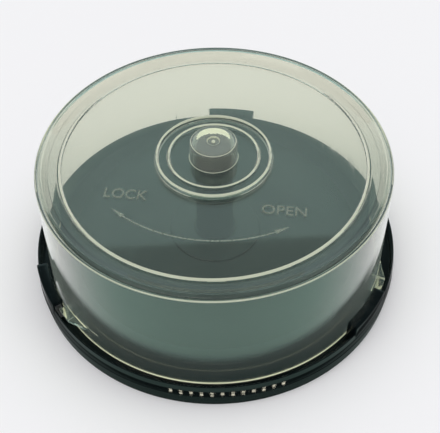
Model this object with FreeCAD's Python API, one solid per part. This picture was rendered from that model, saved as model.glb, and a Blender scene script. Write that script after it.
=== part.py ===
import FreeCAD, Part
import math
import os

# Round storage case for a stack of 120 mm discs: a moulded base tray, a hollow spindle
# that clips into the tray, and a clear cover that drops over both and locks with a twist.
# Millimetres, +Z up. The origin is on the table, under the middle of the tray.

os.makedirs("parts", exist_ok=True)

# The disc that the case is made for
disc_radius = 60.0
disc_hole_radius = 7.5

# Spindle post and how loosely a disc drops over it
disc_play = 0.5
post_wall = 1.5
tip_taper = 1.1
tip_taper_height = 8.8
tip_round = 0.7
tip_ring_margin = 2.0
tip_ring_width = 0.6
tip_ring_depth = 0.3

# Spindle stem below the disc seat, with its four clip fingers
stem_step = 0.6
stem_wall = 1.3
hook_reach = 0.7
hook_height = 1.6
hook_lead = 1.0
finger_slot = 2.0
finger_length = 4.6
finger_count = 4

# Fits between spindle and tray
journal_play = 0.06
spindle_float = 0.05

# Tray: skirt, rim, channel for the cover's edge, raised platform and disc seat
channel_inner_gap = 2.2
channel_outer_gap = 4.0
skirt_top = 5.5
skirt_flare = 0.5
skirt_ledge = 0.15
rim_wall = 1.1
rim_top = 10.6
rim_slope_width = 0.5
rim_slope_height = 2.1
rim_side_round = 3.0
rim_round = 0.25
floor_wall = 1.5
foot_step = 3.5
foot_wall = 1.2
platform_margin = 0.9
platform_top = 13.2
platform_wall = 1.6
platform_side_wall = 1.5
platform_round = 0.6
boss_radius = 17.3
boss_rise = 0.8
boss_round = 0.4

# Tray underside: hub, radial ribs and one ring rib
hub_wall = 2.0
hub_end = 6.4
rib_count = 6
rib_width = 1.2
rib_depth = 3.0
ring_rib_radius = 36.0
rib_first_angle = 15.0

# Twist lock: three roofs on the rim, three lugs on the cover
lock_count = 3
lock_first_angle = 83.0
roof_span = 16.7
roof_inner_gap = 0.8
roof_set_back = 0.1
roof_thickness = 2.2
roof_corner_round = 0.4
stop_web = 1.2
lug_span = 16.8
tongue_span = 5.8
lug_rest_gap = 0.6
lug_rise = 1.6
lug_thickness = 1.6
tongue_step = 0.7
lug_roof_play = 0.3
lug_rim_play = 1.0

# Cover: wall, shoulder and dished top
cover_wall = 1.2
cover_lean = 0.8
cover_seat_gap = 0.2
cover_top = 53.0
shoulder_round = 1.8
shoulder_flat = 0.6
crease_width = 2.2
crease_drop = 1.2
dish_slope_width = 2.9
dish_drop = 1.9
ring_margin = 1.1
ring_bead = 0.8

# Cover: raised middle with two bead rings and the hollow knob over the spindle tip
plateau_radius = 21.2
plateau_rise = 1.2
plateau_lean = 0.2
plateau_round = 0.4
outer_bead_margin = 0.9
outer_bead = 0.65
outer_bead_rise = 0.55
bead_spacing = 4.2
inner_bead = 0.7
knob_tip_gap = 1.4
knob_wall = 1.1
knob_lean = 0.2
knob_rise = 7.3
knob_round = 1.2
knob_root_round = 0.4
knob_tip_play = 1.1
gate_radius = 2.2
gate_depth = 0.5
gate_stub_radius = 0.7
gate_stub_height = 0.3

# One overrun for every cut, and how closely an edge has to lie to be the one meant
overrun = 1.0
edge_match = 0.01
full_turn = 360.0

# Radii that follow, from the disc outwards
platform_radius = disc_radius + platform_margin
cover_foot_radius = platform_radius + channel_inner_gap + cover_wall
rim_inner_radius = cover_foot_radius + channel_outer_gap
rim_outer_radius = rim_inner_radius + rim_wall
rim_top_radius = rim_outer_radius - rim_slope_width
skirt_top_radius = rim_outer_radius + skirt_ledge
foot_radius = skirt_top_radius - skirt_flare
foot_inner_radius = foot_radius - foot_wall
roof_inner_radius = cover_foot_radius + roof_inner_gap
roof_outer_radius = rim_outer_radius - roof_set_back
lug_radius = rim_inner_radius - lug_rim_play
cover_top_radius = cover_foot_radius - cover_lean
crease_radius = cover_top_radius - shoulder_round - shoulder_flat - crease_width
dish_radius = crease_radius - dish_slope_width
ring_radius = dish_radius - ring_margin
outer_bead_radius = plateau_radius - outer_bead_margin
inner_bead_radius = outer_bead_radius - bead_spacing

# Radii that follow, round the disc's hole
post_radius = disc_hole_radius - disc_play
tip_radius = post_radius - tip_taper
tip_ring_radius = tip_radius - tip_ring_margin
stem_radius = post_radius - stem_step
bore_radius = stem_radius + journal_play
hub_radius = bore_radius + hub_wall
knob_top_radius = tip_radius + knob_tip_gap + knob_wall
knob_root_radius = knob_top_radius + knob_lean

# Heights that follow
channel_floor = foot_step + floor_wall
boss_top = platform_top + boss_rise
platform_under = platform_top - platform_wall
cover_bottom = channel_floor + cover_seat_gap
lug_top = rim_top + lug_rise
roof_under = lug_top + lug_roof_play
roof_top = roof_under + roof_thickness
plate_level = cover_top - dish_drop
plateau_level = plate_level + plateau_rise
knob_top = plateau_level + knob_rise
spindle_top = knob_top - knob_wall - knob_tip_play
stop_angle = math.degrees(stop_web / (roof_inner_radius + rim_inner_radius) * 2)


# A closed outline of (radius, height) points turned about the Z axis.
def turned(points, start=0.0, span=full_turn):
    corners = [FreeCAD.Vector(r, 0, z) for r, z in points]
    face = Part.Face(Part.makePolygon(corners + corners[:1]))
    axis = FreeCAD.Vector(0, 0, 1)
    centre = FreeCAD.Vector(0, 0, 0)
    face.rotate(centre, axis, start)
    return face.revolve(centre, axis, span)


# Rounds the circular edges that lie at the given radius and height.
def rounded(solid, rings):
    for radius, height, size in rings:
        edges = []
        for edge in solid.Edges:
            curve = edge.Curve
            if not isinstance(curve, Part.Circle):
                continue
            if abs(curve.Radius - radius) < edge_match and abs(curve.Center.z - height) < edge_match:
                edges.append(edge)
        solid = solid.makeFillet(size, edges)
    return solid


# A bead with a round crest round the Z axis, raised on straight sides when it has a rise.
def bead(ring, level, size, rise=0.0):
    crest = Part.makeTorus(ring, size, FreeCAD.Vector(0, 0, level + rise))
    if rise == 0:
        return crest
    return crest.fuse(turned([
        (ring - size, level - cover_wall / 2),
        (ring + size, level - cover_wall / 2),
        (ring + size, level + rise),
        (ring - size, level + rise),
    ]))


def copies_round(shape, count):
    placed = []
    for k in range(count):
        copy = shape.copy()
        copy.rotate(FreeCAD.Vector(0, 0, 0), FreeCAD.Vector(0, 0, 1), k * full_turn / count)
        placed.append(copy)
    return placed


def at_angle(radius, angle, height):
    turn = math.radians(angle)
    return FreeCAD.Vector(radius * math.cos(turn), radius * math.sin(turn), height)


# The tray's turned body: a flared skirt that ends in a ledge, the rim, which leans in at
# its top, the channel, the platform, the disc seat and the hub.
def tray_body():
    side_inner = platform_radius - platform_side_wall
    rim_side_top = rim_top - rim_slope_height
    section = [
        (foot_radius, 0),
        (skirt_top_radius, skirt_top),
        (rim_outer_radius, skirt_top),
        (rim_outer_radius, rim_side_top),
        (rim_top_radius, rim_top),
        (rim_inner_radius, rim_top),
        (rim_inner_radius, channel_floor),
        (platform_radius, channel_floor),
        (platform_radius, platform_top),
        (boss_radius, platform_top),
        (boss_radius, boss_top),
        (bore_radius, boss_top),
        (bore_radius, hub_end),
        (hub_radius, hub_end),
        (hub_radius, platform_under),
        (side_inner, platform_under),
        (side_inner, foot_step),
        (foot_inner_radius, foot_step),
        (foot_inner_radius, 0),
    ]
    return rounded(turned(section), [
        (rim_outer_radius, rim_side_top, rim_side_round),
        (rim_top_radius, rim_top, rim_round),
        (rim_inner_radius, rim_top, rim_round),
        (platform_radius, platform_top, platform_round),
        (boss_radius, boss_top, boss_round),
    ])


# Radial ribs and a ring rib stiffen the platform from below.
def tray_ribs():
    side_inner = platform_radius - platform_side_wall
    inner = hub_radius - hub_wall / 2
    length = side_inner + platform_side_wall / 2 - inner
    low = platform_under - rib_depth
    height = rib_depth + platform_wall / 2
    rib = Part.makeBox(length, rib_width, height, FreeCAD.Vector(inner, -rib_width / 2, low))
    rib.rotate(FreeCAD.Vector(0, 0, 0), FreeCAD.Vector(0, 0, 1), rib_first_angle)
    ring = turned([
        (ring_rib_radius, low),
        (ring_rib_radius + rib_width, low),
        (ring_rib_radius + rib_width, low + height),
        (ring_rib_radius, low + height),
    ])
    return copies_round(rib, rib_count) + [ring]


# A roof stands on the rim and reaches in over the lug's path. A web closes its far end.
def lock_roof():
    start = lock_first_angle - roof_span / 2
    roof = turned([
        (roof_inner_radius, roof_under),
        (roof_inner_radius, roof_top),
        (roof_outer_radius, roof_top),
        (roof_outer_radius, skirt_top),
        (rim_inner_radius, skirt_top),
        (rim_inner_radius, roof_under),
    ], start, roof_span)
    edges = [edge for edge in roof.Edges if edge.BoundBox.ZMin > roof_top - edge_match]
    roof = roof.makeFillet(roof_corner_round, edges)
    web = turned([
        (roof_inner_radius, channel_floor - floor_wall / 2),
        (roof_inner_radius, roof_under + lug_roof_play),
        (rim_inner_radius + rim_wall / 2, roof_under + lug_roof_play),
        (rim_inner_radius + rim_wall / 2, channel_floor - floor_wall / 2),
    ], start, stop_angle)
    return roof.fuse(web)


# The opening in the channel floor that lets the mould form the roof's underside.
def roof_slot():
    start = lock_first_angle - roof_span / 2 + stop_angle
    return turned([
        (roof_inner_radius, foot_step - overrun),
        (foot_inner_radius, foot_step - overrun),
        (foot_inner_radius, channel_floor + overrun),
        (roof_inner_radius, channel_floor + overrun),
    ], start, roof_span - stop_angle)


def base_tray():
    tray = tray_body().cut(Part.Compound(copies_round(roof_slot(), lock_count)))
    return tray.fuse(tray_ribs() + copies_round(lock_roof(), lock_count))


# The spindle's turned body, a hollow post on a thinner stem with a hooked end.
def spindle_body():
    stem_foot = boss_top + spindle_float
    hook_top = hub_end - spindle_float
    hook_low = hook_top - hook_height
    stem_inner = stem_radius - stem_wall
    post_inner = post_radius - post_wall
    taper_start = spindle_top - tip_taper_height
    section = [
        (stem_inner, hook_low),
        (stem_radius + hook_reach - hook_lead, hook_low),
        (stem_radius + hook_reach, hook_low + hook_lead),
        (stem_radius + hook_reach, hook_top),
        (stem_radius, hook_top),
        (stem_radius, stem_foot),
        (post_radius, stem_foot),
        (post_radius, taper_start),
        (tip_radius, spindle_top),
        (0, spindle_top),
        (0, spindle_top - post_wall),
        (tip_radius - post_wall, spindle_top - post_wall),
        (post_inner, taper_start),
        (post_inner, stem_foot + post_wall),
        (stem_inner, stem_foot + post_wall),
    ]
    return rounded(turned(section), [(tip_radius, spindle_top, tip_round)])


def spindle():
    hook_low = hub_end - spindle_float - hook_height
    reach = stem_radius + hook_reach + overrun
    slot = Part.makeBox(
        reach, finger_slot, finger_length + overrun,
        FreeCAD.Vector(0, -finger_slot / 2, hook_low - overrun))
    groove = turned([
        (tip_ring_radius, spindle_top - tip_ring_depth),
        (tip_ring_radius + tip_ring_width, spindle_top - tip_ring_depth),
        (tip_ring_radius + tip_ring_width, spindle_top + overrun),
        (tip_ring_radius, spindle_top + overrun),
    ])
    return spindle_body().cut(Part.Compound(copies_round(slot, finger_count) + [groove]))


# The cover's turned outline, outside when inset is 0 and inside when it is the wall.
def cover_outline(inset, knob_inset, foot):
    return [
        (0, foot),
        (cover_foot_radius - inset, foot),
        (cover_top_radius - inset, cover_top - inset),
        (cover_top_radius - shoulder_round - shoulder_flat, cover_top - inset),
        (crease_radius, cover_top - crease_drop - inset),
        (dish_radius, plate_level - inset),
        (plateau_radius - inset, plate_level - inset),
        (plateau_radius - plateau_lean - inset, plateau_level - inset),
        (knob_root_radius - knob_inset, plateau_level - inset),
        (knob_top_radius - knob_inset, knob_top - knob_inset),
        (0, knob_top - knob_inset),
    ]


def cover_shell():
    outside = rounded(turned(cover_outline(0, 0, cover_bottom)), [
        (cover_top_radius, cover_top, shoulder_round),
        (knob_top_radius, knob_top, knob_round),
        (knob_root_radius, plateau_level, knob_root_round),
    ])
    inside = rounded(turned(cover_outline(cover_wall, knob_wall, cover_bottom - overrun)), [
        (cover_top_radius - cover_wall, cover_top - cover_wall, shoulder_round - cover_wall),
        (plateau_radius - plateau_lean - cover_wall, plateau_level - cover_wall, plateau_round),
    ])
    beads = [
        bead(ring_radius, plate_level, ring_bead),
        bead(outer_bead_radius, plateau_level, outer_bead, outer_bead_rise),
        bead(inner_bead_radius, plateau_level, inner_bead),
    ]
    return outside.fuse(beads).cut(inside)


# A lug is a flat ledge on the wall's outside: a low square tongue that leads under the
# roof, then a step up to a part that tapers back into the wall.
def lug():
    first = lock_first_angle + roof_span / 2 + lug_rest_gap
    step = first + tongue_span
    last = first + lug_span
    root = cover_top_radius - cover_wall / 2
    low = lug_top - lug_thickness
    middle = (first + step) / 2
    tongue_edge = Part.Arc(
        at_angle(lug_radius, first, low), at_angle(lug_radius, middle, low),
        at_angle(lug_radius, step, low)).toShape()
    tongue_root = Part.Arc(
        at_angle(root, step, low), at_angle(root, middle, low),
        at_angle(root, first, low)).toShape()
    sides = [
        Part.makeLine(at_angle(lug_radius, step, low), at_angle(root, step, low)),
        Part.makeLine(at_angle(root, first, low), at_angle(lug_radius, first, low)),
    ]
    tongue = Part.Face(Part.Wire([tongue_edge, sides[0], tongue_root, sides[1]]))
    taper = Part.Face(Part.makePolygon([
        at_angle(root, step, low), at_angle(lug_radius, step, low),
        at_angle(root, last, low), at_angle(root, (step + last) / 2, low),
        at_angle(root, step, low)]))
    low_part = tongue.extrude(FreeCAD.Vector(0, 0, lug_thickness - tongue_step))
    high_part = taper.extrude(FreeCAD.Vector(0, 0, lug_thickness))
    return low_part.fuse(high_part)


# A shallow dimple in the knob's top, with the stub that moulding leaves in it.
def gate_mark():
    dimple = Part.makeCylinder(
        gate_radius, gate_depth + overrun, FreeCAD.Vector(0, 0, knob_top - gate_depth))
    stub = Part.makeCylinder(
        gate_stub_radius, gate_stub_height, FreeCAD.Vector(0, 0, knob_top - gate_depth))
    return dimple.cut(stub)


def cover():
    shell = cover_shell().cut(gate_mark())
    return shell.fuse(copies_round(lug(), lock_count)).removeSplitter()


for name, make in (("base_tray", base_tray), ("spindle", spindle), ("cover", cover)):
    shape = make()
    if shape.ShapeType != "Solid" and len(shape.Solids) == 1:
        shape = shape.Solids[0]
    shape.exportStep("parts/" + name + ".step")
    box = shape.optimalBoundingBox()
    print(name, len(shape.Solids), shape.isValid(), "volume %.0f" % shape.Volume,
          "z %.2f to %.2f" % (box.ZMin, box.ZMax), "radius %.2f" % (box.XLength / 2))
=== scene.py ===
import bpy
import bmesh
import math
from functools import partial
from mathutils import Matrix, Vector


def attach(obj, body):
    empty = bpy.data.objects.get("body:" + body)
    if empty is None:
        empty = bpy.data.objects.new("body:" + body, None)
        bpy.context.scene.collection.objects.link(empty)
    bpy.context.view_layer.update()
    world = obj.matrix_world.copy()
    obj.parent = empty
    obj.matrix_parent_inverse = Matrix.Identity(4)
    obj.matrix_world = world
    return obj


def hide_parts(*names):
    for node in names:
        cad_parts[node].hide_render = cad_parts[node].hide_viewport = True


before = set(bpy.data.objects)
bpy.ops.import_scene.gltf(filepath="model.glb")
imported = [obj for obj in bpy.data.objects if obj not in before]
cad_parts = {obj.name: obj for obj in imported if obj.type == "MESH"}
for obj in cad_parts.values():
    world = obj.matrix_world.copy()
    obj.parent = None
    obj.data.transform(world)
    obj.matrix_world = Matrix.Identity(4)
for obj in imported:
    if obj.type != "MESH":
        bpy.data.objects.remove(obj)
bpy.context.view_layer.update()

# Disc spindle case: a black tray and spindle under a clear cover that locks with a twist.
# The dictionaries hold millimetres and degrees, only the one named studio holds metres, as the scene does.
mm = 0.001
scene = bpy.context.scene


# Meshes from outlines and blocks

# A loop beside each rounding keeps the flat there flat: its distance as a share of the rounding, and the most
supportLoop = {"share": 0.2, "most": 0.12}


def roundedOutline(corners, closed=False, arcSteps=6):
    # corners are (radius, height, rounding); without a rounding a corner stays sharp
    points = []
    count = len(corners)
    for i, corner in enumerate(corners):
        here = Vector(corner[:2])
        atEnd = not closed and i in (0, count - 1)
        if len(corner) < 3 or atEnd:
            points.append(here)
            continue
        rounding = corner[2]
        toBefore = Vector(corners[i - 1][:2]) - here
        toAfter = Vector(corners[(i + 1) % count][:2]) - here
        before, after = toBefore.normalized(), toAfter.normalized()
        half = before.angle(after) / 2
        reach = rounding / math.tan(half)
        centre = here + (before + after).normalized() * rounding / math.sin(half)
        start, end = here + before * reach - centre, here + after * reach - centre
        sweep = start.angle(end)
        side = 1 if start.cross(end) > 0 else -1
        support = min(supportLoop["most"], supportLoop["share"] * rounding)
        if reach + 2 * support < toBefore.length:
            points.append(here + before * (reach + support))
        steps = max(3, round(arcSteps * sweep / (math.pi / 2)) + 1)
        for k in range(steps + 1):
            turn = side * sweep * k / steps
            c, s = math.cos(turn), math.sin(turn)
            points.append(centre + Vector((c * start.x - s * start.y, s * start.x + c * start.y)))
        if reach + 2 * support < toAfter.length:
            points.append(here + after * (reach + support))
    return points


def beadPoints(ring, level, size, steps=24):
    turns = [math.radians(180 * k / steps) for k in range(steps + 1)]
    return [(ring + size * math.cos(t), level + size * math.sin(t)) for t in turns]


def rectangle(left, right, low, high):
    return [(left, low), (right, low), (right, high), (left, high)]


def onCircle(radius, angle):
    turn = math.radians(angle)
    return radius * math.cos(turn), radius * math.sin(turn)


def plainObject(name, data):
    made = bpy.data.objects.new(name, data)
    scene.collection.objects.link(made)
    return made


def outlineObject(name, points, closed=False):
    mesh = bpy.data.meshes.new(name)
    verts = [(p[0] * mm, 0, p[1] * mm) for p in points]
    if closed:
        verts.append(verts[0])
    mesh.from_pydata(verts, [(i, i + 1) for i in range(len(verts) - 1)], [])
    return plainObject(name, mesh)


def shellObject(name, bm):
    bmesh.ops.recalc_face_normals(bm, faces=bm.faces)
    mesh = bpy.data.meshes.new(name)
    bm.to_mesh(mesh)
    bm.free()
    return plainObject(name, mesh)


def turnedBlock(name, corners, start, span, steps=12):
    # a closed block: an outline of (radius, height) swept from start through span degrees
    bm = bmesh.new()
    rows = []
    for k in range(steps + 1):
        turn = math.radians(start + span * k / steps)
        rows.append([bm.verts.new((r * mm * math.cos(turn), r * mm * math.sin(turn), z * mm))
                     for r, z in corners])
    for a, b in zip(rows, rows[1:]):
        for i in range(len(corners)):
            j = (i + 1) % len(corners)
            bm.faces.new((a[i], b[i], b[j], a[j]))
    bm.faces.new(list(reversed(rows[0])))
    bm.faces.new(rows[-1])
    return shellObject(name, bm)


def platePrism(name, outline, low, high):
    # a closed prism on a flat outline of (x, y)
    bm = bmesh.new()
    lower = [bm.verts.new((x * mm, y * mm, low * mm)) for x, y in outline]
    upper = [bm.verts.new((x * mm, y * mm, high * mm)) for x, y in outline]
    bm.faces.new(list(reversed(lower)))
    bm.faces.new(upper)
    for i in range(len(outline)):
        j = (i + 1) % len(outline)
        bm.faces.new((lower[i], lower[j], upper[j], upper[i]))
    return shellObject(name, bm)


def evaluatedMesh(obj):
    bpy.context.view_layer.update()
    graph = bpy.context.evaluated_depsgraph_get()
    return bpy.data.meshes.new_from_object(obj.evaluated_get(graph), depsgraph=graph)


def baked(obj):
    # the modifiers' result as a plain mesh, with the object kept at the origin
    mesh = evaluatedMesh(obj)
    obj.modifiers.clear()
    old = obj.data
    obj.data = mesh
    if old.users == 0:
        bpy.data.meshes.remove(old)
    mesh.name = obj.name
    return obj


def softShaded(obj, sharpAbove=32, merge=1e-7):
    bm = bmesh.new()
    bm.from_mesh(obj.data)
    bmesh.ops.remove_doubles(bm, verts=bm.verts, dist=merge)
    for face in bm.faces:
        face.smooth = True
    for edge in bm.edges:
        folded = len(edge.link_faces) == 2 and edge.calc_face_angle() > math.radians(sharpAbove)
        edge.smooth = not folded
    bm.to_mesh(obj.data)
    bm.free()
    return obj


def combined(obj, other, operation):
    cut = obj.modifiers.new(operation.lower(), "BOOLEAN")
    cut.operation = operation
    cut.solver = "EXACT"
    cut.object = other
    baked(obj)
    bpy.data.objects.remove(other)
    return obj


def softened(obj, width, segments=2, above=25):
    bevel = obj.modifiers.new("softEdges", "BEVEL")
    bevel.width = width * mm
    bevel.segments = segments
    bevel.limit_method = "ANGLE"
    bevel.angle_limit = math.radians(above)
    return baked(obj)


# Node trees: inputs take a link or a plain value

def fillInputs(tree, node, inputs):
    for label, value in inputs.items():
        if isinstance(value, bpy.types.NodeSocket):
            tree.links.new(value, node.inputs[label])
        else:
            node.inputs[label].default_value = value


def addNode(tree, kind, inputs=None, **settings):
    node = tree.nodes.new(kind)
    for key, value in settings.items():
        setattr(node, key, value)
    fillInputs(tree, node, inputs or {})
    return node


def mathNode(tree, operation, *values):
    return addNode(tree, "ShaderNodeMath", dict(enumerate(values)), operation=operation).outputs[0]


def chained(operation, tree, first, *others):
    for other in others:
        first = mathNode(tree, operation, first, other)
    return first


product, total, highest = (partial(chained, operation) for operation in ("MULTIPLY", "ADD", "MAXIMUM"))


def rangeNode(tree, value, start, end, low=0.0, high=1.0, kind="LINEAR"):
    return addNode(tree, "ShaderNodeMapRange", {
        "Value": value, "From Min": start, "From Max": end, "To Min": low, "To Max": high,
    }, interpolation_type=kind).outputs[0]


fadeNode = partial(rangeNode, kind="SMOOTHSTEP")


def noiseNode(tree, vector, **inputs):
    return addNode(tree, "ShaderNodeTexNoise", {"Vector": vector, **inputs}).outputs["Fac"]


def splitNode(tree, vector):
    return addNode(tree, "ShaderNodeSeparateXYZ", {0: vector}).outputs


def radiusNode(tree, split):
    flat = addNode(tree, "ShaderNodeCombineXYZ", {"X": split["X"], "Y": split["Y"]}).outputs[0]
    return addNode(tree, "ShaderNodeVectorMath", {0: flat}, operation="LENGTH").outputs["Value"]


def facingUp(tree):
    return splitNode(tree, addNode(tree, "ShaderNodeNewGeometry").outputs["Normal"])["Z"]


def bumpNode(tree, height, values):
    return addNode(tree, "ShaderNodeBump", {
        "Height": height, "Strength": values["bump"], "Distance": values["bumpDepth"] * mm}).outputs[0]


def mixColours(tree, factor, first, second):
    return addNode(tree, "ShaderNodeMix", {"Factor": factor, "A": first, "B": second},
                   data_type="RGBA").outputs["Result"]


def glowing(tree, kind, colour, strength=1.0):
    return addNode(tree, kind, {"Color": colour, "Strength": strength}).outputs[0]


def mixShaders(tree, factor, first, second):
    return addNode(tree, "ShaderNodeMixShader", {0: factor, 1: first, 2: second}).outputs[0]


def newTree(name, kind, inputs, outputs):
    tree = bpy.data.node_groups.new(name, kind)
    for label, socket, default in inputs:
        made = tree.interface.new_socket(label, in_out="INPUT", socket_type=socket)
        if default is not None:
            made.default_value = default
    for label, socket in outputs:
        tree.interface.new_socket(label, in_out="OUTPUT", socket_type=socket)
    source = tree.nodes.new("NodeGroupInput")
    target = tree.nodes.new("NodeGroupOutput")
    return tree, source.outputs, target


def runTree(obj, tree, **values):
    modifier = obj.modifiers.new(tree.name, "NODES")
    modifier.node_group = tree
    for item in tree.interface.items_tree:
        if item.item_type == "SOCKET" and item.in_out == "INPUT" and item.name in values:
            modifier[item.identifier] = values[item.name]
    return baked(obj)


def endMeshTree(tree, geometry, given, result):
    real = addNode(tree, "GeometryNodeRealizeInstances", {0: geometry}).outputs[0]
    finish = addNode(tree, "GeometryNodeSetMaterial", {"Geometry": real, "Material": given["Finish"]})
    fillInputs(tree, result, {"Mesh": finish.outputs[0]})
    return tree


# Turns an outline in the XZ plane about the Z axis: a grid with one row for each point of it
def buildLatheTree():
    tree, given, result = newTree("latheTurning", "GeometryNodeTree", [
        ("Outline", "NodeSocketGeometry", None),
        ("Segments", "NodeSocketInt", 192),
        ("Seam", "NodeSocketFloat", 1e-6),
        ("Finish", "NodeSocketMaterial", None),
    ], [("Mesh", "NodeSocketGeometry")])
    maths = partial(mathNode, tree)
    size = addNode(tree, "GeometryNodeAttributeDomainSize", {0: given["Outline"]}, component="MESH")
    rows = size.outputs["Point Count"]
    grid = addNode(tree, "GeometryNodeMeshGrid", {
        "Vertices X": maths("ADD", given["Segments"], 1), "Vertices Y": rows}).outputs["Mesh"]
    index = addNode(tree, "GeometryNodeInputIndex").outputs[0]
    column = maths("FLOOR", maths("DIVIDE", maths("ADD", index, 0.5), rows))
    row = maths("SUBTRACT", index, maths("MULTIPLY", column, rows))
    point = addNode(tree, "GeometryNodeSampleIndex", {
        "Geometry": given["Outline"], "Index": row,
        "Value": addNode(tree, "GeometryNodeInputPosition").outputs[0],
    }, data_type="FLOAT_VECTOR", domain="POINT").outputs[0]
    split = splitNode(tree, point)
    turn = maths("MULTIPLY", maths("DIVIDE", column, given["Segments"]), 2 * math.pi)
    position = addNode(tree, "ShaderNodeCombineXYZ", {
        "X": product(tree, split["X"], maths("COSINE", turn)),
        "Y": product(tree, split["X"], maths("SINE", turn)),
        "Z": split["Z"],
    }).outputs[0]
    turned = addNode(tree, "GeometryNodeSetPosition", {"Geometry": grid, "Position": position}).outputs[0]
    merged = addNode(tree, "GeometryNodeMergeByDistance", {"Geometry": turned, "Distance": given["Seam"]})
    return endMeshTree(tree, merged.outputs[0], given, result)


# Sets copies of a shape round the Z axis
def buildRoundTree():
    tree, given, result = newTree("copiesRound", "GeometryNodeTree", [
        ("Shape", "NodeSocketGeometry", None),
        ("Copies", "NodeSocketInt", 3),
        ("Full Turn", "NodeSocketFloat", 2 * math.pi),
        ("Finish", "NodeSocketMaterial", None),
    ], [("Mesh", "NodeSocketGeometry")])
    points = addNode(tree, "GeometryNodeMeshLine", {"Count": given["Copies"], "Offset": (0, 0, 0)}, mode="OFFSET")
    index = addNode(tree, "GeometryNodeInputIndex").outputs[0]
    share = mathNode(tree, "DIVIDE", index, given["Copies"])
    spin = addNode(tree, "ShaderNodeCombineXYZ", {"Z": product(tree, share, given["Full Turn"])})
    copies = addNode(tree, "GeometryNodeInstanceOnPoints", {
        "Points": points.outputs[0], "Instance": given["Shape"], "Rotation": spin.outputs[0]})
    return endMeshTree(tree, copies.outputs[0], given, result)


latheTurning = buildLatheTree()
copiesRound = buildRoundTree()
print("geometry trees ready")


# Shared surface effects

scratchLines = {
    # lays of scratches: their turn, and how much they are stretched across and along
    "lays": [(0.4, 14.0), (1.7, 18.0), (2.6, 11.0)], "along": 0.6, "tilt": 0.3,
    "detail": 3.0, "distortion": 0.25, "halfWidth": 0.006,
    "patchScale": 55.0, "patchStarts": 0.42, "patchFull": 0.68,
}


# Fine scratches that run in many directions: a mask and a height
def buildScratchGroup(v):
    tree, given, result = newTree("fineScratches", "ShaderNodeTree", [
        ("Vector", "NodeSocketVector", None),
        ("Scale", "NodeSocketFloat", 40.0),
        ("Coverage", "NodeSocketFloat", 0.3),
    ], [("Mask", "NodeSocketFloat"), ("Height", "NodeSocketFloat")])
    maths = partial(mathNode, tree)
    found = []
    for turn, stretch in v["lays"]:
        lay = addNode(tree, "ShaderNodeMapping", {
            "Vector": given["Vector"], "Rotation": (turn * v["tilt"], 0, turn),
            "Scale": (stretch, v["along"], v["along"])}).outputs[0]
        noise = noiseNode(tree, lay, Scale=given["Scale"], Detail=v["detail"], Distortion=v["distortion"])
        line = maths("ABSOLUTE", maths("SUBTRACT", noise, 0.5))
        found.append(rangeNode(tree, line, v["halfWidth"], 0.0))
    where = noiseNode(tree, given["Vector"], Scale=v["patchScale"])
    patch = rangeNode(tree, where, v["patchStarts"], v["patchFull"])
    mask = product(tree, highest(tree, *found), patch, given["Coverage"])
    fillInputs(tree, result, {"Mask": mask, "Height": product(tree, mask, -1.0)})
    return tree


dustSpots = {
    "speckEdge": 0.16, "speckCore": 0.05,
    "driftScale": 60.0, "driftDetail": 4.0, "driftStarts": 0.48, "driftFull": 0.62,
}


# Small pale specks that lie on surfaces facing up
def buildDustGroup(v):
    tree, given, result = newTree("dustSpecks", "ShaderNodeTree", [
        ("Vector", "NodeSocketVector", None),
        ("Scale", "NodeSocketFloat", 900.0),
        ("Amount", "NodeSocketFloat", 0.5),
    ], [("Mask", "NodeSocketFloat")])
    cells = addNode(tree, "ShaderNodeTexVoronoi", {"Vector": given["Vector"], "Scale": given["Scale"]})
    speck = rangeNode(tree, cells.outputs["Distance"], v["speckEdge"], v["speckCore"])
    drift = noiseNode(tree, given["Vector"], Scale=v["driftScale"], Detail=v["driftDetail"])
    patch = rangeNode(tree, drift, v["driftStarts"], v["driftFull"])
    up = mathNode(tree, "MAXIMUM", facingUp(tree), 0.0)
    fillInputs(tree, result, {"Mask": product(tree, speck, patch, up, given["Amount"])})
    return tree


rubbedEdges = {
    "edgeStarts": 0.52, "edgeFull": 0.6, "rubScale": 160.0, "rubDetail": 5.0, "rubStarts": 0.4, "rubFull": 0.7,
}


# Rubbed edges, from how sharply the surface turns
def buildWearGroup(v):
    tree, given, result = newTree("edgeWear", "ShaderNodeTree", [
        ("Vector", "NodeSocketVector", None),
        ("Amount", "NodeSocketFloat", 0.5),
    ], [("Mask", "NodeSocketFloat")])
    sharpness = addNode(tree, "ShaderNodeNewGeometry").outputs["Pointiness"]
    edge = rangeNode(tree, sharpness, v["edgeStarts"], v["edgeFull"])
    rub = noiseNode(tree, given["Vector"], Scale=v["rubScale"], Detail=v["rubDetail"])
    patch = rangeNode(tree, rub, v["rubStarts"], v["rubFull"])
    fillInputs(tree, result, {"Mask": product(tree, edge, patch, given["Amount"])})
    return tree


fineScratches = buildScratchGroup(scratchLines)
dustSpecks = buildDustGroup(dustSpots)
edgeWear = buildWearGroup(rubbedEdges)


def placeGroup(tree, group, vector, **inputs):
    return addNode(tree, "ShaderNodeGroup", {"Vector": vector, **inputs}, node_tree=group).outputs


def clearedTree(owner):
    owner.use_nodes = True
    owner.node_tree.nodes.clear()
    return owner.node_tree


# Lamps shine through what is clear, so that what it holds isn't left in the dark
def letLampsThrough(tree, surface, colour):
    clear = addNode(tree, "ShaderNodeBsdfTransparent", {"Color": colour}).outputs[0]
    shadow = addNode(tree, "ShaderNodeLightPath").outputs["Is Shadow Ray"]
    return mixShaders(tree, shadow, surface, clear)


def newMaterial(name, shadowColour=None):
    material = bpy.data.materials.new(name)
    tree = clearedTree(material)
    shader = addNode(tree, "ShaderNodeBsdfPrincipled")
    surface = shader.outputs[0]
    if shadowColour:
        surface = letLampsThrough(tree, surface, shadowColour)
    addNode(tree, "ShaderNodeOutputMaterial", {"Surface": surface})
    coords = addNode(tree, "ShaderNodeTexCoord").outputs["Object"]
    return material, tree, shader, coords


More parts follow.
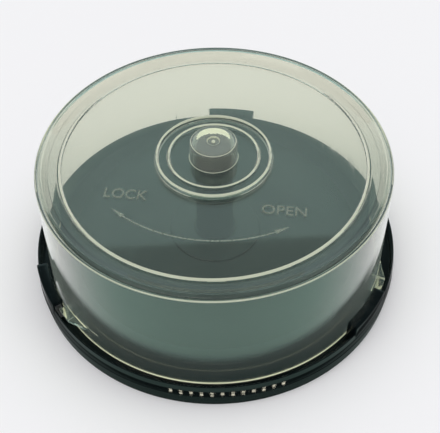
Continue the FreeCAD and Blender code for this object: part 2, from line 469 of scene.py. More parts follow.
# The scratches, dust and ripples of a moulded surface, on top of the roughness that it has by itself
def markSurface(tree, shader, coords, roughness, v):
    scratches = placeGroup(tree, fineScratches, coords, Scale=v["scratchScale"], Coverage=v["scratchCoverage"])
    dust = placeGroup(tree, dustSpecks, coords, Scale=v["dustScale"], Amount=v["dust"])["Mask"]
    ripple = noiseNode(tree, coords, Scale=v["rippleScale"], Detail=v["rippleDetail"])
    height = total(tree, product(tree, ripple, v["ripple"]), product(tree, scratches["Height"], v["scratchHeight"]))
    fillInputs(tree, shader, {
        "Roughness": total(tree, product(tree, scratches["Mask"], v["scratchRoughness"]), roughness,
                           product(tree, dust, v["dustRoughness"])),
        "Normal": bumpNode(tree, height, v),
        "IOR": v["ior"],
    })
    return scratches["Mask"], dust


# Roughness that varies with a noise
def variedRoughness(tree, noise, middle, spread):
    return rangeNode(tree, noise, 0.0, 1.0, middle - spread, middle + spread)


# Bluish black moulded plastic of the tray and the spindle
blackPlastic = {
    "colour": (0.0020, 0.0034, 0.0042, 1), "wornColour": (0.040, 0.050, 0.053, 1),
    "paleRingColour": (0.031, 0.045, 0.049, 1),
    # a paler ring on the platform's upward top: radii where it fades in and out, least height and levelness
    "paleRingStart": 7.2, "paleRingInner": 9.0, "paleRingOuter": 42.0, "paleRingEnd": 60.5,
    "paleRingLevel": 13.0, "paleRingFacing": 0.7,
    "roughness": 0.10, "roughnessSpread": 0.03, "cloudScale": 45.0, "cloudDetail": 5.0,
    "ior": 1.5, "specularLevel": 0.42, "wear": 0.25,
    "scratchScale": 38.0, "scratchCoverage": 0.25, "scratchRoughness": 0.25, "scratchHeight": 1.0,
    "scratchPaleness": 0.35, "dustScale": 1100.0, "dust": 0.08, "dustRoughness": 0.5,
    "rippleScale": 900.0, "rippleDetail": 3.0, "ripple": 0.012, "bump": 0.35, "bumpDepth": 0.04,
}


def paleRingMask(tree, coords, v):
    split = splitNode(tree, coords)
    radius = radiusNode(tree, split)
    return product(
        tree,
        fadeNode(tree, radius, v["paleRingStart"] * mm, v["paleRingInner"] * mm),
        fadeNode(tree, radius, v["paleRingEnd"] * mm, v["paleRingOuter"] * mm),
        mathNode(tree, "GREATER_THAN", split["Z"], v["paleRingLevel"] * mm),
        mathNode(tree, "GREATER_THAN", facingUp(tree), v["paleRingFacing"]))


def makeBlackPlastic(v):
    material, tree, shader, coords = newMaterial("blackPlastic")
    cloud = noiseNode(tree, coords, Scale=v["cloudScale"], Detail=v["cloudDetail"])
    roughness = variedRoughness(tree, cloud, v["roughness"], v["roughnessSpread"])
    scratches, dust = markSurface(tree, shader, coords, roughness, v)
    wear = placeGroup(tree, edgeWear, coords, Amount=v["wear"])["Mask"]
    pale = highest(tree, wear, dust, product(tree, scratches, v["scratchPaleness"]))
    worn = mixColours(tree, pale, v["colour"], v["wornColour"])
    fillInputs(tree, shader, {
        "Base Color": mixColours(tree, paleRingMask(tree, coords, v), worn, v["paleRingColour"]),
        "Specular IOR Level": v["specularLevel"],
    })
    return material


# Clear styrene of the cover, with a faint green-yellow tint and a faint teal painted glow of its own
clearPlastic = {
    "colour": (0.910, 0.897, 0.810, 1), "transmission": 0.985, "knobTransmission": 0.92,
    "sheen": 0.20, "sheenRoughness": 0.40, "sheenTint": (0.90, 0.98, 0.84, 1),
    "paintedGlow": 0.008, "paintedGlowColour": (0.40, 0.92, 1.0, 1), "shadowColour": (0.86, 0.89, 0.82, 1),
    "roughness": 0.01, "ior": 1.53,
    "scratchScale": 30.0, "scratchCoverage": 0.16, "scratchRoughness": 0.12, "scratchHeight": 0.2,
    "dustScale": 800.0, "dust": 0.02, "dustRoughness": 0.4,
    "rippleScale": 35.0, "rippleDetail": 1.0, "ripple": 0.04, "bump": 0.4, "bumpDepth": 0.2,
}


def makeClearPlastic(name, v, transmission):
    material, tree, shader, coords = newMaterial(name, v["shadowColour"])
    markSurface(tree, shader, coords, v["roughness"], v)
    # the emission gives the clear plastic a faint painted glow, not from any lamp
    fillInputs(tree, shader, {
        "Base Color": v["colour"], "Transmission Weight": transmission,
        "Sheen Weight": v["sheen"], "Sheen Roughness": v["sheenRoughness"], "Sheen Tint": v["sheenTint"],
        "Emission Color": v["paintedGlowColour"], "Emission Strength": v["paintedGlow"],
    })
    return material


# Satin finish of the beads, the words and arrow and the foot. On the beads it is a painted highlight, and the foot
# has a painted glow that stands for the light the wall leads down
satinAndPaintedLight = {
    "beads": {"colour": (0.70, 0.735, 0.57, 1), "transmission": 0.30, "roughness": 0.34, "glow": 0.0},
    "foot": {"colour": (0.72, 0.74, 0.56, 1), "transmission": 0.20, "roughness": 0.34, "glow": 0.58},
    "markings": {"colour": (0.90, 0.92, 0.84, 1), "transmission": 0.92, "roughness": 0.28, "glow": 0.0},
    "roughnessSpread": 0.06, "ior": 1.53, "shadowColour": (0.80, 0.84, 0.72, 1),
    "grainScale": 1500.0, "bump": 0.3, "bumpDepth": 0.03,
}


def makeSatinAndPaintedLight(name, v, own):
    material, tree, shader, coords = newMaterial(name, v["shadowColour"])
    grain = noiseNode(tree, coords, Scale=v["grainScale"])
    fillInputs(tree, shader, {
        "Base Color": own["colour"], "Transmission Weight": own["transmission"], "IOR": v["ior"],
        "Emission Color": own["colour"], "Emission Strength": own["glow"],
        "Roughness": variedRoughness(tree, grain, own["roughness"], v["roughnessSpread"]),
        "Normal": bumpNode(tree, grain, v),
    })
    return material


traySurface = makeBlackPlastic(blackPlastic)
coverSurface = makeClearPlastic("clearPlastic", clearPlastic, clearPlastic["transmission"])
# the knob's material lets less light through, which pales it: a painted reflection in place of the reflections inside
# the knob
knobPaintedReflectionSurface = makeClearPlastic("knobPaintedReflection", clearPlastic, clearPlastic["knobTransmission"])
beadHighlightSurface = makeSatinAndPaintedLight("beadPaintedHighlight", satinAndPaintedLight, satinAndPaintedLight["beads"])
footGlowSurface = makeSatinAndPaintedLight("footPaintedGlow", satinAndPaintedLight, satinAndPaintedLight["foot"])
markingSurface = makeSatinAndPaintedLight("markingPlastic", satinAndPaintedLight, satinAndPaintedLight["markings"])
print("materials ready")


# Tray
traySizes = {
    "footRadius": 69.05, "footInner": 67.85, "skirtTopRadius": 69.55, "skirtTop": 5.5,
    "rimOuter": 69.4, "rimSideTop": 8.5, "rimTopRadius": 68.9, "rimTop": 10.6, "rimInner": 68.3,
    "footStep": 3.5, "channelFloor": 5.0,
    "platformRadius": 60.9, "platformTop": 13.2, "platformUnder": 11.6, "platformSideInner": 59.4,
    "bossRadius": 17.3, "bossTop": 14.0, "boreRadius": 6.46, "hubRadius": 8.46, "hubEnd": 6.4,
    "ribs": 6, "ribWidth": 1.2, "ribDepth": 3.0, "ribFirstAngle": 15.0, "ribRound": 0.15, "ringRib": 36.0,
    "locks": 3, "lockAngle": 83.0, "roofSpan": 16.7, "roofInner": 65.1, "roofOuter": 69.3,
    "roofUnder": 12.5, "roofTop": 14.7, "roofRound": 0.4, "webSpan": 1.04, "webRound": 0.12,
    # how far ribs, roofs and webs reach into what they stand on, and the cutter past what it cuts
    "ribUp": 0.5, "ribIn": 1.0, "ribOut": 0.7, "roofIn": 0.1, "webIn": 0.5, "webUp": 0.3, "cutPast": 1.0,
    "segments": 240,
}


def makeTray(s):
    corners = [
        (s["footRadius"], 0, 0.15),
        (s["skirtTopRadius"], s["skirtTop"], 0.08),
        (s["rimOuter"], s["skirtTop"], 0.05),
        (s["rimOuter"], s["rimSideTop"], 3.0),
        (s["rimTopRadius"], s["rimTop"], 0.25),
        (s["rimInner"], s["rimTop"], 0.25),
        (s["rimInner"], s["channelFloor"], 0.3),
        (s["platformRadius"], s["channelFloor"], 0.3),
        (s["platformRadius"], s["platformTop"], 0.6),
        (s["bossRadius"], s["platformTop"], 0.2),
        (s["bossRadius"], s["bossTop"], 0.4),
        (s["boreRadius"], s["bossTop"], 0.1),
        (s["boreRadius"], s["hubEnd"], 0.15),
        (s["hubRadius"], s["hubEnd"], 0.15),
        (s["hubRadius"], s["platformUnder"], 0.3),
        (s["platformSideInner"], s["platformUnder"], 0.3),
        (s["platformSideInner"], s["footStep"], 0.15),
        (s["footInner"], s["footStep"], 0.1),
        (s["footInner"], 0, 0.1),
    ]
    tray = outlineObject("trayBody", roundedOutline(corners, closed=True), closed=True)
    runTree(tray, latheTurning, Segments=s["segments"], Finish=traySurface)
    opening = rectangle(s["roofInner"], s["footInner"], -s["cutPast"], s["channelFloor"] + s["cutPast"])
    slot = turnedBlock("slotCutter", opening, s["lockAngle"] - s["roofSpan"] / 2 + s["webSpan"],
                       s["roofSpan"] - s["webSpan"])
    runTree(slot, copiesRound, Copies=s["locks"], Finish=traySurface)
    combined(tray, slot, "DIFFERENCE")
    return softShaded(tray)


def makeRibs(s):
    low, high = s["platformUnder"] - s["ribDepth"], s["platformUnder"] + s["ribUp"]
    half, soft = s["ribWidth"] / 2, s["ribRound"]
    line = rectangle(s["hubRadius"] - s["ribIn"], s["platformSideInner"] + s["ribOut"], -half, half)
    rib = platePrism("trayRibs", line, low, high)
    rib.data.transform(Matrix.Rotation(math.radians(s["ribFirstAngle"]), 4, "Z"))
    softened(rib, soft)
    runTree(rib, copiesRound, Copies=s["ribs"], Finish=traySurface)
    edge = s["ringRib"] + s["ribWidth"]
    ring = outlineObject("trayRingRib", roundedOutline([
        (s["ringRib"], low, soft), (edge, low, soft), (edge, high), (s["ringRib"], high)], closed=True), closed=True)
    runTree(ring, latheTurning, Segments=s["segments"], Finish=traySurface)
    return softShaded(rib), softShaded(ring)


def makeRoofs(s):
    start = s["lockAngle"] - s["roofSpan"] / 2
    leg = s["rimInner"] + s["roofIn"]
    roof = turnedBlock("lockRoofs", [
        (s["roofInner"], s["roofUnder"]), (s["roofInner"], s["roofTop"]), (s["roofOuter"], s["roofTop"]),
        (s["roofOuter"], s["skirtTop"]), (leg, s["skirtTop"]), (leg, s["roofUnder"]),
    ], start, s["roofSpan"], steps=16)
    softened(roof, s["roofRound"], segments=4, above=40)
    runTree(roof, copiesRound, Copies=s["locks"], Finish=traySurface)
    outer, low, high = s["rimInner"] + s["webIn"], s["footStep"] + s["webUp"], s["roofUnder"] + s["webUp"]
    web = turnedBlock("stopWebs", [
        (s["roofInner"], low), (s["roofInner"], high), (outer, high), (outer, low),
    ], start, s["webSpan"], steps=2)
    softened(web, s["webRound"])
    runTree(web, copiesRound, Copies=s["locks"], Finish=traySurface)
    return softShaded(roof), softShaded(web)


trayBody = makeTray(traySizes)
trayRibs, trayRingRib = makeRibs(traySizes)
lockRoofs, stopWebs = makeRoofs(traySizes)
print("tray ready")


# Spindle
spindleSizes = {
    "postRadius": 7.0, "postInner": 5.5, "postFoot": 14.05, "taperStart": 48.6,
    "tipRadius": 5.9, "tipTop": 57.4, "tipRound": 0.7, "tipWall": 1.5,
    "ringInner": 3.9, "ringOuter": 4.5, "ringDepth": 0.3,
    "stemRadius": 6.4, "stemInner": 5.1, "stemEnd": 4.75,
    "hookReach": 0.7, "hookTop": 6.35, "hookLead": 1.0,
    "slots": 4, "slotWidth": 2.0, "slotTop": 9.35, "slotFrom": 3.0, "cutPast": 1.0, "segments": 128,
}


def makeSpindle(s):
    hook = s["stemRadius"] + s["hookReach"]
    groove = s["tipTop"] - s["ringDepth"]
    inner = [
        (0, s["tipTop"] - s["tipWall"]),
        (s["tipRadius"] - s["tipWall"], s["tipTop"] - s["tipWall"], 0.3),
        (s["postInner"], s["taperStart"]),
        (s["postInner"], s["postFoot"] + s["tipWall"], 0.2),
        (s["stemInner"], s["postFoot"] + s["tipWall"], 0.2),
    ]
    outer = [
        (s["stemInner"], s["stemEnd"], 0.1),
        (hook - s["hookLead"], s["stemEnd"], 0.1),
        (hook, s["stemEnd"] + s["hookLead"], 0.15),
        (hook, s["hookTop"], 0.1),
        (s["stemRadius"], s["hookTop"], 0.1),
        (s["stemRadius"], s["postFoot"], 0.15),
        (s["postRadius"], s["postFoot"], 0.15),
        (s["postRadius"], s["taperStart"]),
        (s["tipRadius"], s["tipTop"], s["tipRound"]),
        (s["ringOuter"], s["tipTop"], 0.08),
        (s["ringOuter"], groove, 0.1),
        (s["ringInner"], groove, 0.1),
        (s["ringInner"], s["tipTop"], 0.08),
        (0, s["tipTop"]),
    ]
    post = outlineObject("spindlePost", roundedOutline(inner + outer))
    runTree(post, latheTurning, Segments=s["segments"], Finish=traySurface)
    half = s["slotWidth"] / 2
    cutter = platePrism("fingerCutter", rectangle(s["slotFrom"], hook + s["cutPast"], -half, half),
                        s["stemEnd"] - s["cutPast"], s["slotTop"])
    runTree(cutter, copiesRound, Copies=s["slots"], Finish=traySurface)
    combined(post, cutter, "DIFFERENCE")
    return softShaded(post)


spindlePost = makeSpindle(spindleSizes)
print("spindle ready")


# Cover
coverSizes = {
    "bottom": 5.2, "footRadius": 64.3, "topRadius": 63.5, "wall": 1.2, "top": 53.0,
    "shoulderRound": 1.8, "shoulderFlat": 0.6, "creaseRadius": 58.9, "creaseDrop": 1.2,
    "dishRadius": 56.0, "plate": 51.1, "ring": 54.9, "ringBead": 0.8,
    "plateauRadius": 21.2, "plateauLean": 0.2, "plateau": 52.3,
    "outerBead": 20.3, "outerBeadSize": 0.65, "outerBeadRise": 0.55, "innerBead": 16.1, "innerBeadSize": 0.7,
    "besideBead": 0.2, "knobRoot": 8.6, "knobTopRadius": 8.4, "knobWall": 1.1, "knobTop": 59.6, "knobRound": 1.2,
    "knobRootRound": 0.4, "gateRadius": 2.2, "gateDepth": 0.5, "stubRadius": 0.7, "stubHeight": 0.3,
    "lugs": 3, "lugStart": 91.95, "lugStep": 97.75, "lugEnd": 108.75, "lugRadius": 67.3,
    "lugTop": 12.2, "lugThickness": 1.6, "lugRound": 0.1, "tongueStep": 0.7, "tongueParts": 4,
    "segments": 240,
    # satin faces that carry painted highlights, their width set by which way they face: middle radius, half width at
    # the front, the sides and the back, least and most height
    "highlightBands": [
        (54.9, 0.66, 0.03, -0.20, 51.3, 52.0), (20.3, 0.62, 0.20, 0.66, 52.85, 53.6),
        (16.1, 0.42, 0.20, 0.55, 52.5, 53.1), (2.15, 0.16, 0.16, 0.16, 59.1, 59.7),
        (0.0, 0.72, 0.72, 0.72, 59.15, 59.5), (63.4, 0.25, 0.25, 0.25, 51.35, 52.0),
        (63.05, -0.3, 0.2, 0.22, 52.2, 52.75), (7.90, 0.14, 0.14, 0.14, 59.2, 59.6),
        (8.75, 0.08, 0.08, -0.1, 52.3, 52.5),
    ],
    # a crescent under the knob's top gets the foot's painted glow: the rows of faces it needs there, and its band
    "crescentShares": [0.50, 0.54, 0.58, 0.62, 0.66, 0.70, 0.74, 0.78, 0.82],
    "crescentBand": (5.9, -1.5, -0.3, 1.6, 58.4, 58.6),
    # the foot and the knob have surfaces of their own, the foot's with a painted glow and the knob's paled as a
    # painted reflection: least and most radius, least and most height
    "footBand": (63.0, 64.4, 5.1, 5.45), "knobBand": (0.0, 8.75, 52.0, 59.7),
    # the step of each lug gets a painted highlight too: half its span in degrees, and from how far below the lug's
    # top to above it
    "highlightStepSpan": 0.35, "highlightStepDrop": 0.75, "highlightStepRise": 0.05,
}


def coverOutline(s):
    w, knobUnder, gate = s["wall"], s["knobTop"] - s["knobWall"], s["knobTop"] - s["gateDepth"]
    shoulder, crease = s["topRadius"] - s["shoulderRound"] - s["shoulderFlat"], s["top"] - s["creaseDrop"]
    inside = roundedOutline([
        (0, knobUnder),
        *[(s["knobTopRadius"] * share, knobUnder) for share in s["crescentShares"]],
        (s["knobTopRadius"] - s["knobWall"], knobUnder, 0.3),
        (s["knobRoot"] - s["knobWall"], s["plateau"] - w, 0.3),
        (s["plateauRadius"] - s["plateauLean"] - w, s["plateau"] - w, 0.4),
        (s["plateauRadius"] - w, s["plate"] - w, 0.2),
        (s["dishRadius"], s["plate"] - w, 0.5),
        (s["creaseRadius"], crease - w, 0.5),
        (shoulder, s["top"] - w, 0.5),
        (s["topRadius"] - w, s["top"] - w, 0.6),
        (s["footRadius"] - w, s["bottom"], 0.2),
        (s["footRadius"], s["bottom"], 0.2),
        (s["topRadius"], s["top"], s["shoulderRound"]),
        (shoulder, s["top"], 0.5),
        (s["creaseRadius"], crease, 0.5),
        (s["dishRadius"], s["plate"]),
    ])
    ring = beadPoints(s["ring"], s["plate"], s["ringBead"])
    outer = beadPoints(s["outerBead"], s["plateau"] + s["outerBeadRise"], s["outerBeadSize"])
    inner = beadPoints(s["innerBead"], s["plateau"], s["innerBeadSize"])
    middle = roundedOutline([
        (s["ring"] - s["ringBead"] - s["besideBead"], s["plate"]),
        (s["plateauRadius"], s["plate"], 0.15),
        outer[0],
    ])
    between = roundedOutline([
        outer[-1],
        (s["outerBead"] - s["outerBeadSize"], s["plateau"], 0.15),
        (s["innerBead"] + s["innerBeadSize"] + s["besideBead"], s["plateau"]),
    ])
    knob = roundedOutline([
        (s["innerBead"] - s["innerBeadSize"] - s["besideBead"], s["plateau"]),
        (s["knobRoot"], s["plateau"], s["knobRootRound"]),
        (s["knobTopRadius"], s["knobTop"], s["knobRound"]),
        (s["gateRadius"], s["knobTop"], 0.1),
        (s["gateRadius"], gate, 0.15),
        (s["stubRadius"], gate, 0.05),
        (s["stubRadius"], gate + s["stubHeight"], 0.1),
        (0, gate + s["stubHeight"]),
    ], arcSteps=8)
    return inside + ring + middle[:-1] + outer + between[1:] + inner + knob


def makeLugs(s):
    root, tip = s["topRadius"] - s["wall"] / 2, s["lugRadius"]
    low, parts = s["lugTop"] - s["lugThickness"], s["tongueParts"]
    steps = [s["lugStart"] + (s["lugStep"] - s["lugStart"]) * k / parts for k in range(parts + 1)]
    tongue = platePrism("lugTongue", [onCircle(tip, a) for a in steps]
                        + [onCircle(root, a) for a in reversed(steps)], low, s["lugTop"] - s["tongueStep"])
    middle = (s["lugStep"] + s["lugEnd"]) / 2
    taper = platePrism("coverLugs", [onCircle(root, s["lugStep"]), onCircle(tip, s["lugStep"]),
                                     onCircle(root, s["lugEnd"]), onCircle(root, middle)], low, s["lugTop"])
    combined(taper, tongue, "UNION")
    softened(taper, s["lugRound"])
    return runTree(taper, copiesRound, Copies=s["lugs"], Finish=coverSurface)


def inPaintedLightBand(radius, height, frontness, band):
    ring, front, side, back, low, high = band
    width = side + ((front if frontness > 0 else back) - side) * abs(frontness)
    return abs(radius - ring) < width and low < height < high


def onLugStep(radius, height, angle, s):
    off = (angle - s["lugStep"] + 180 / s["lugs"]) % (360 / s["lugs"]) - 180 / s["lugs"]
    level = s["lugTop"] - s["highlightStepDrop"] < height < s["lugTop"] + s["highlightStepRise"]
    return radius > s["footRadius"] and level and abs(off) < s["highlightStepSpan"]


# Faces that get the satin with painted highlights, the foot's painted glow or the knob's painted reflection
def paintedLightFaces(obj, s):
    slots = obj.data.materials
    satin, foot, knob = range(len(slots), len(slots) + 3)
    for surface in (beadHighlightSurface, footGlowSurface, knobPaintedReflectionSurface):
        slots.append(surface)
    for face in obj.data.polygons:
        x, y, height = (c / mm for c in face.center)
        radius = math.hypot(x, y)
        frontness = -y / radius if radius > 1e-6 else 0
        for index, (near, far, low, high) in ((foot, s["footBand"]), (knob, s["knobBand"])):
            if near <= radius < far and low < height < high:
                face.material_index = index
        if inPaintedLightBand(radius, height, frontness, s["crescentBand"]):
            face.material_index = foot
        inBand = any(inPaintedLightBand(radius, height, frontness, band) for band in s["highlightBands"])
        if inBand or onLugStep(radius, height, math.degrees(math.atan2(y, x)), s):
            face.material_index = satin


def makeCover(s):
    shell = outlineObject("coverShell", coverOutline(s))
    runTree(shell, latheTurning, Segments=s["segments"], Finish=coverSurface)
    combined(shell, makeLugs(s), "UNION")
    paintedLightFaces(shell, s)
    return softShaded(shell)


coverShell = makeCover(coverSizes)
print("cover ready")


# Raised words and arrow on the cover
markingSizes = {
    "turn": -8.0, "plate": 51.1, "lift": 0.01, "height": 0.12,
    "bevel": 0.05, "bevelSteps": 1, "thinning": 0.06, "capShare": 0.729, "curveSteps": 8,
    "lock": {"word": "LOCK", "left": -35.2, "right": -20.4, "low": -22.9, "cap": 4.3},
    "open": {"word": "OPEN", "left": 19.2, "right": 34.2, "low": -24.5, "cap": 4.0},
    "arrow": {
        "centre": 12.4, "radius": 51.0, "halfAngle": 36.0, "centreAngle": -1.6, "width": 0.4, "parts": 48,
        "headLength": 5.2, "headWidth": 1.6, "notchShare": 0.8,
    },
}


def makeWord(s, w):
    name = w["word"].lower() + "Word"
    curve = bpy.data.curves.new(name, "FONT")
    curve.body = w["word"]
    curve.size = w["cap"] / s["capShare"] * mm
    curve.extrude = s["height"] / 2 * mm
    curve.bevel_depth = s["bevel"] * mm
    curve.bevel_resolution = s["bevelSteps"]
    curve.offset = -s["thinning"] * mm
    curve.resolution_u = s["curveSteps"]
    text = plainObject(name, curve)
    mesh = evaluatedMesh(text)
    bpy.data.objects.remove(text)
    axes = list(zip(*[v.co for v in mesh.vertices]))
    low, high = Vector([min(axis) for axis in axes]), Vector([max(axis) for axis in axes])
    stretch = (w["right"] - w["left"]) * mm / (high.x - low.x)
    place = Matrix.Translation((w["left"] * mm, w["low"] * mm, (s["plate"] + s["lift"]) * mm))
    fit = Matrix.Diagonal((stretch, w["cap"] * mm / (high.y - low.y), 1, 1))
    mesh.transform(place @ fit @ Matrix.Translation(-low))
    return plainObject(name, mesh)


def makeArrow(s):
    a = s["arrow"]
    low, high = s["plate"] + s["lift"], s["plate"] + s["lift"] + s["height"]
    headSpan = math.degrees(a["headLength"] / a["radius"])

    def at(radius, angle):
        x, y = onCircle(radius, 270 + a["centreAngle"] + angle)
        return x, a["centre"] + y

    inner, outer = a["radius"] - a["width"] / 2, a["radius"] + a["width"] / 2
    reach = a["halfAngle"] - headSpan * a["notchShare"]
    steps = [-reach + 2 * reach * k / a["parts"] for k in range(a["parts"] + 1)]
    line = [at(outer, t) for t in steps] + [at(inner, t) for t in reversed(steps)]
    pieces = [platePrism("arrowLine", line, low, high)]
    for side in (-1, 1):
        base = side * (a["halfAngle"] - headSpan)
        head = [at(a["radius"], side * a["halfAngle"]), at(a["radius"] + a["headWidth"] / 2, base),
                at(a["radius"], side * reach), at(a["radius"] - a["headWidth"] / 2, base)]
        pieces.append(platePrism("arrowHead", head, low, high))
    return pieces


def joined(name, pieces):
    bm = bmesh.new()
    for piece in pieces:
        bm.from_mesh(piece.data)
        bpy.data.objects.remove(piece)
    return shellObject(name, bm)


def makeMarkings(s):
    markings = joined("coverMarkings", [makeWord(s, s["lock"]), makeWord(s, s["open"])] + makeArrow(s))
    markings.data.transform(Matrix.Rotation(math.radians(s["turn"]), 4, "Z"))
    markings.data.materials.append(markingSurface)
    return softShaded(markings)


coverMarkings = makeMarkings(markingSizes)
print("markings ready")

for piece in (trayBody, trayRibs, trayRingRib, lockRoofs, stopWebs):
    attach(piece, "base")
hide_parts("base_tray")
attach(spindlePost, "spindle")
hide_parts("spindle")
for piece in (coverShell, coverMarkings):
    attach(piece, "cover")
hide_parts("cover")


# Studio
studio = {
    "floorSize": 6.0, "floorDrop": 0.00002, "floorColour": (0.89, 0.89, 0.905, 1),
    "backdrop": (0.893, 0.893, 0.915, 1), "backdropShare": 0.6, "glowStarts": 0.071, "glowFull": 0.105,
    "mirroredFloor": (0.42, 0.66, 0.58, 1), "frontStarts": 0.010, "frontFull": 0.078,
    # what mirrors see close to the foot, in front: a dim strip for the skirt, a dark one for the rim
    "contactShade": 0.05, "contactStarts": 0.0755, "contactEnds": 0.0800, "contactFades": 0.030,
    "skirtShade": 0.17, "skirtStarts": 0.0729, "skirtFull": 0.0724,
    # far in front it is dark again, which the rounded edges show
    "farShade": 0.12, "farStarts": 0.105, "farFull": 0.140, "farSideStarts": 0.015, "farSideFull": 0.045,
    # short rows of dots along the front, which the rim shows: degrees from the front, radii, dots
    "lampDots": {"first": -14.6, "last": 20.6, "step": 3.15, "width": 0.30, "slant": 16.0,
                 "inner": 0.0728, "outer": 0.0755, "dot": 0.0012, "dotHalf": 0.29, "shift": 0.37,
                 "strength": 8.0, "colour": (1.0, 0.96, 0.76, 1)},
    "worldColour": (1, 1, 1, 1), "worldStrength": 0.78,
    "ceilingColour": (0.60, 0.88, 0.88, 1), "horizonColour": (0.36, 0.50, 0.54, 1),
    "horizonFades": 0.35, "horizonEnds": 0.62, "frontSky": 0.25, "frontSkyStarts": 0.10, "frontSkyFull": 0.45,
    # the ceiling is darker above a line that rises to one side: elevation and lean in degrees, softness
    "ceilingEdge": 49.83, "ceilingLean": 1.86, "ceilingSoft": 0.005, "skyLow": 0.80, "skyHigh": 0.14,
    # name, power, width and depth, place
    "lamps": [("keyLamp", 3.0, (0.9, 0.9), (-0.3, -0.4, 1.0)), ("fillLamp", 1.6, (0.9, 0.7), (0.6, 0.2, 0.9))],
    "lampTarget": (0, 0, 0.02),
}


def lampDots(tree, split, radius, v):
    maths = partial(mathNode, tree)
    angle = maths("ARCTAN2", split["X"], maths("MULTIPLY", split["Y"], -1.0))
    out = maths("SUBTRACT", radius, v["inner"])
    spread = maths("ADD", maths("MULTIPLY", out, v["slant"]), 1.0)
    degrees = maths("MULTIPLY", maths("DIVIDE", angle, spread), 180 / math.pi)
    place = maths("DIVIDE", maths("SUBTRACT", degrees, v["first"]), v["step"])
    nearest = maths("ROUND", place)
    wave = maths("FRACT", maths("ADD", maths("DIVIDE", out, v["dot"]), maths("MULTIPLY", nearest, v["shift"])))
    edge = v["step"] / 2
    return product(
        tree,
        maths("LESS_THAN", maths("ABSOLUTE", maths("SUBTRACT", place, nearest)), v["width"] / 2),
        maths("LESS_THAN", maths("ABSOLUTE", maths("SUBTRACT", wave, 0.5)), v["dotHalf"]),
        maths("GREATER_THAN", out, 0.0), maths("LESS_THAN", radius, v["outer"]),
        maths("GREATER_THAN", degrees, v["first"] - edge), maths("LESS_THAN", degrees, v["last"] + edge))


# Rays that some face has mirrored, but not those that only came through clear plastic
def mirroredRays(tree, path):
    scattered = mathNode(tree, "GREATER_THAN", path["Diffuse Depth"], 0.5)
    return highest(tree, mathNode(tree, "GREATER_THAN", path["Glossy Depth"], 0.5),
                   product(tree, path["Is Glossy Ray"], scattered))


# One, or a share of it where the mask is
def dimmedTo(tree, mask, share):
    return mathNode(tree, "SUBTRACT", 1.0, product(tree, mask, 1.0 - share))


# Mirrored rays see a floor that is greener and has dark bands in front of the case, and dots that shine there
def mirroredFloor(tree, split, radius, v):
    dots = lampDots(tree, split, radius, v["lampDots"])
    greener = fadeNode(tree, split["Y"], -v["frontStarts"], -v["frontFull"])
    colour = mixColours(tree, greener, v["backdrop"], v["mirroredFloor"])
    inFront = fadeNode(tree, split["Y"], 0.0, -v["contactFades"])
    contact = fadeNode(tree, radius, v["contactStarts"], v["contactEnds"], low=v["contactShade"])
    near = total(tree, product(tree, mathNode(tree, "SUBTRACT", contact, 1.0), inFront), 1.0)
    far = product(tree, fadeNode(tree, radius, v["farStarts"], v["farFull"]),
                  fadeNode(tree, split["Y"], -v["farSideStarts"], -v["farSideFull"]))
    skirt = fadeNode(tree, radius, v["skirtStarts"], v["skirtFull"])
    lit = mixColours(tree, dots, colour, v["lampDots"]["colour"])
    strength = total(
        tree, product(tree, near, dimmedTo(tree, far, v["farShade"])), product(tree, skirt, inFront, v["skirtShade"]),
        product(tree, dots, v["lampDots"]["strength"]))
    return glowing(tree, "ShaderNodeEmission", lit, strength)


# A share of the floor glows for the eye, mirrors and glass, but not under the case
def makeFloor(v):
    half = v["floorSize"] / 2
    mesh = bpy.data.meshes.new("floor")
    mesh.from_pydata([(x, y, 0) for x, y in rectangle(-half, half, -half, half)], [], [(0, 1, 2, 3)])
    floor = plainObject("floor", mesh)
    floor.location.z = -v["floorDrop"]
    material = bpy.data.materials.new("paleFloor")
    tree = clearedTree(material)
    path = addNode(tree, "ShaderNodeLightPath").outputs
    split = splitNode(tree, addNode(tree, "ShaderNodeTexCoord").outputs["Object"])
    radius = radiusNode(tree, split)
    seen = highest(tree, path["Is Camera Ray"], path["Is Glossy Ray"], path["Is Transmission Ray"])
    share = fadeNode(tree, radius, v["glowStarts"], v["glowFull"], high=v["backdropShare"])
    matt = addNode(tree, "ShaderNodeBsdfDiffuse", {"Color": v["floorColour"]}).outputs[0]
    glow = glowing(tree, "ShaderNodeEmission", v["backdrop"])
    plain = mixShaders(tree, product(tree, seen, share), matt, glow)
    surface = mixShaders(tree, mirroredRays(tree, path), plain, mirroredFloor(tree, split, radius, v))
    addNode(tree, "ShaderNodeOutputMaterial", {"Surface": surface})
    mesh.materials.append(material)


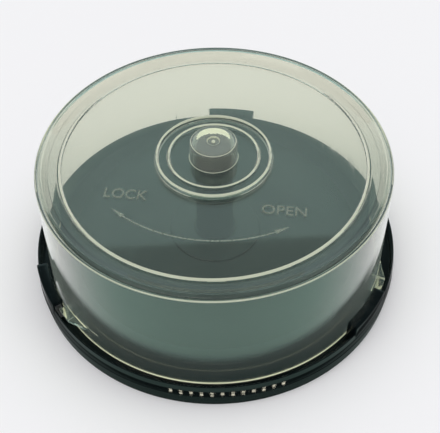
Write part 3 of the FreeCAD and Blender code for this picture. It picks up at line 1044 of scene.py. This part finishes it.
# White all round, but mirrored rays see a dim horizon under a bluish green sky, dark above a tilted edge and in front
def makeWorld(v):
    world = bpy.data.worlds.new("studioWorld")
    scene.world = world
    tree = clearedTree(world)
    path = addNode(tree, "ShaderNodeLightPath").outputs
    around = addNode(tree, "ShaderNodeTexCoord").outputs["Generated"]
    split = splitNode(tree, around)
    edge, lean = math.radians(v["ceilingEdge"]), math.radians(v["ceilingLean"])
    above = addNode(tree, "ShaderNodeVectorMath", {
        0: around, 1: (math.sin(lean), -math.sin(edge), math.cos(edge))}, operation="DOT_PRODUCT").outputs["Value"]
    ceiling = fadeNode(tree, above, -v["ceilingSoft"], v["ceilingSoft"], v["skyLow"], v["skyHigh"])
    front = fadeNode(tree, split["Y"], -v["frontSkyStarts"], -v["frontSkyFull"])
    rise = fadeNode(tree, split["Z"], v["horizonFades"], v["horizonEnds"])
    background = partial(glowing, tree, "ShaderNodeBackground")
    mirrored = background(mixColours(tree, rise, v["horizonColour"], v["ceilingColour"]),
                          product(tree, ceiling, dimmedTo(tree, front, v["frontSky"])))
    seen = highest(tree, path["Is Camera Ray"], path["Is Transmission Ray"])
    plain = mixShaders(tree, seen, background(v["worldColour"], v["worldStrength"]), background(v["backdrop"]))
    surface = mixShaders(tree, mirroredRays(tree, path), plain, mirrored)
    addNode(tree, "ShaderNodeOutputWorld", {"Surface": surface})


def areaLamp(name, power, size, place, target):
    lamp = bpy.data.lights.new(name, "AREA")
    lamp.energy = power
    lamp.shape = "RECTANGLE"
    lamp.size, lamp.size_y = size
    obj = plainObject(name, lamp)
    obj.location = place
    obj.rotation_euler = (Vector(target) - Vector(place)).to_track_quat("-Z", "Y").to_euler()
    obj.visible_glossy = False


makeFloor(studio)
makeWorld(studio)
for lamp in studio["lamps"]:
    areaLamp(*lamp, studio["lampTarget"])

cameraView = {
    "elevation": 46.97, "distance": 316.8, "targetHeight": 29.3, "roll": -1.222,
    "lens": 69.07, "sensor": 36.0, "shiftX": 0.01227, "shiftY": -0.03773, "clipStart": 10.0,
}


def makeCamera(v):
    data = bpy.data.cameras.new("photoCamera")
    data.lens = v["lens"]
    data.sensor_width = v["sensor"]
    data.shift_x, data.shift_y = v["shiftX"], v["shiftY"]
    data.clip_start = v["clipStart"] * mm
    camera = plainObject("photoCamera", data)
    up = math.radians(v["elevation"])
    target = Vector((0, 0, v["targetHeight"] * mm))
    camera.location = target + Vector((0, -math.cos(up), math.sin(up))) * v["distance"] * mm
    aim = (target - camera.location).to_track_quat("-Z", "Y").to_matrix().to_4x4()
    camera.rotation_euler = (aim @ Matrix.Rotation(math.radians(v["roll"]), 4, "Z")).to_euler()
    scene.camera = camera


makeCamera(cameraView)
scene.view_settings.view_transform = "Standard"

print("scene ready")
